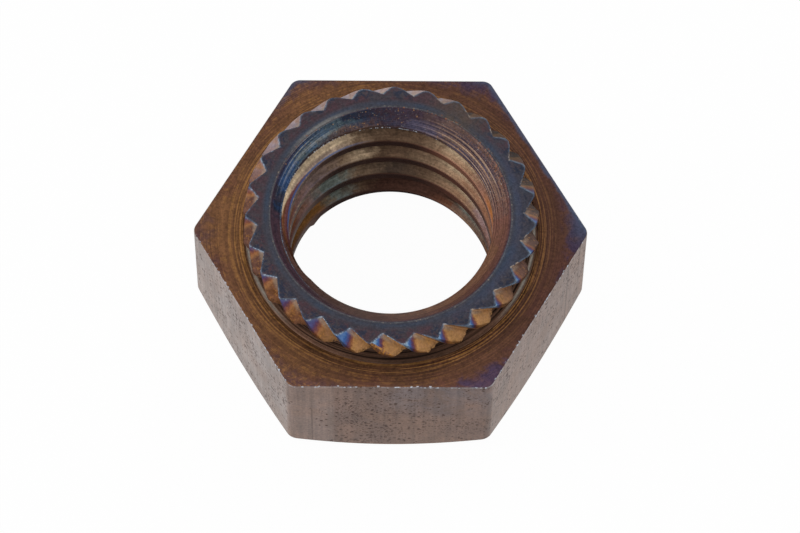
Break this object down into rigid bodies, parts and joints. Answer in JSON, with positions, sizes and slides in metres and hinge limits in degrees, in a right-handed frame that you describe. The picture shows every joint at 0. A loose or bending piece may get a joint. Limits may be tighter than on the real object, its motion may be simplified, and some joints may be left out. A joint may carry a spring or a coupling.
{
  "type": "self clinching nut",
  "caption": "Hexagonal steel nut with a threaded bore and a serrated, undercut clinch collar that locks it into a sheet-metal hole.",
  "frame": {"origin": "centre of the chamfered bottom face, on the axis of the bore", "axes": "+Z along the bore axis towards the clinch collar, +X through a corner of the hexagon, +Y square to a flat"},
  "size_m": [0.0194, 0.017, 0.0089],
  "materials": {
    "heat_tinted_steel": "turned and cut steel, heat tinted brown, gold and slate blue on the collar, bore and top face, matt grey on the hexagon's flats"
  },
  "bodies": {
    "root": {"clinch_nut": "heat_tinted_steel"}
  },
  "joints": []
}
